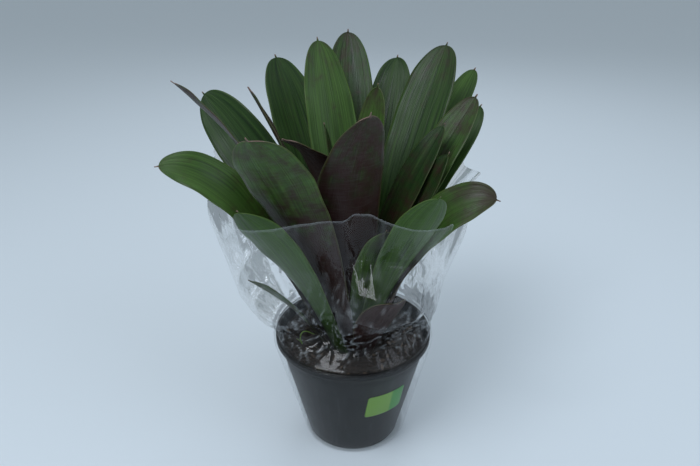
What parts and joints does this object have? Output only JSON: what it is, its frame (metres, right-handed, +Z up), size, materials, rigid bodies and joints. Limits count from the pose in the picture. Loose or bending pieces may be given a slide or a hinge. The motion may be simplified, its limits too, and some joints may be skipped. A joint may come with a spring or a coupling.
{
  "type": "potted bromeliad",
  "caption": "Rosette of broad strap leaves, green above and maroon beneath, in a tapered black nursery pot with dark bark soil and a clear film sleeve.",
  "frame": {"origin": "centre of the pot's flat underside", "axes": "+Z up along the pot's axis, -Y to the front, +X to the right as seen from the front"},
  "size_m": [0.4161, 0.3861, 0.5255],
  "materials": {
    "pot": "satin",
    "soil": "rough",
    "stem": "matte",
    "leaf": "satin",
    "label": "gloss",
    "seedling": "satin",
    "film": "gloss"
  },
  "bodies": {
    "root": {"pot": "pot", "soil": "soil", "stem": "stem", "leaf_01": "leaf", "leaf_02": "leaf", "leaf_03": "leaf", "leaf_04": "leaf", "leaf_05": "leaf", "leaf_06": "leaf", "leaf_07": "leaf", "leaf_08": "leaf", "leaf_09": "leaf", "leaf_10": "leaf", "leaf_11": "leaf", "leaf_12": "leaf", "leaf_13": "leaf", "leaf_14": "leaf", "leaf_15": "leaf", "leaf_16": "leaf", "leaf_17": "leaf", "leaf_18": "leaf", "leaf_19": "leaf", "leaf_20": "leaf", "leaf_21": "leaf", "leaf_22": "leaf", "leaf_23": "leaf", "leaf_24": "leaf", "leaf_25": "leaf", "leaf_26": "leaf", "leaf_27": "leaf", "leaf_28": "leaf", "leaf_29": "leaf", "leaf_30": "leaf", "pot_label": "label", "seedling": "seedling", "film_sleeve": "film"}
  },
  "joints": []
}
